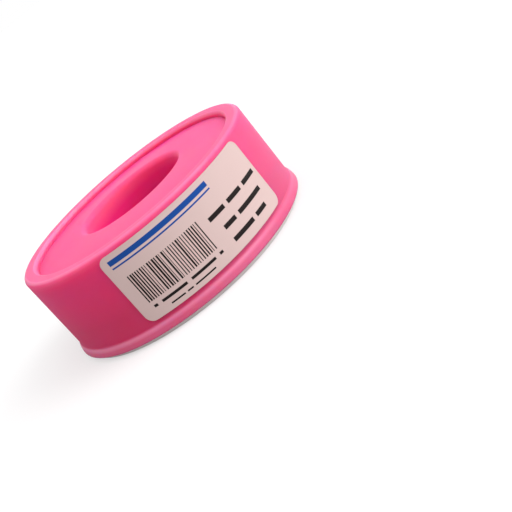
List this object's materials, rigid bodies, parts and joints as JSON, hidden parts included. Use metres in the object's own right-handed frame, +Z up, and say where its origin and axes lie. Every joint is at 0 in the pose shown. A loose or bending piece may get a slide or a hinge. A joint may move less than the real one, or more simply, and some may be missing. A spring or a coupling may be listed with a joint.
{
  "type": "thread seal tape roll",
  "caption": "Roll of thread seal tape: a flanged spool of wound tape, closed by a recessed disc and a slip-on pink band with a paper label, with a bore through its middle.",
  "frame": {"origin": "middle of the underside, on the axis of the bore, where the spool's flange stands on a surface", "axes": "+Z up along the axis of the bore, through the end disc; -Y is the front, which the label faces"},
  "size_m": [0.046, 0.046, 0.0165],
  "materials": {
    "pink_plastic": "satin moulded plastic",
    "white_plastic": "satin moulded plastic, slightly translucent",
    "tape_film": "matte, waxy film",
    "label_paper": "matte paper with a faint sheen"
  },
  "bodies": {
    "reel": {"spool": "white_plastic", "tape": "tape_film"},
    "disc": {"end_disc": "pink_plastic"},
    "cover": {"band": "pink_plastic", "label": "label_paper"}
  },
  "joints": [
    {"name": "disc_spin", "type": "hinge", "parent": "reel", "child": "disc", "pos_m": [0, 0, 0.0145], "axis": [0, 0, 1], "continuous": true},
    {"name": "band_slide", "type": "slide", "parent": "disc", "child": "cover", "axis": [0, 0, 1], "range_m": [0, 0.025]}
  ]
}
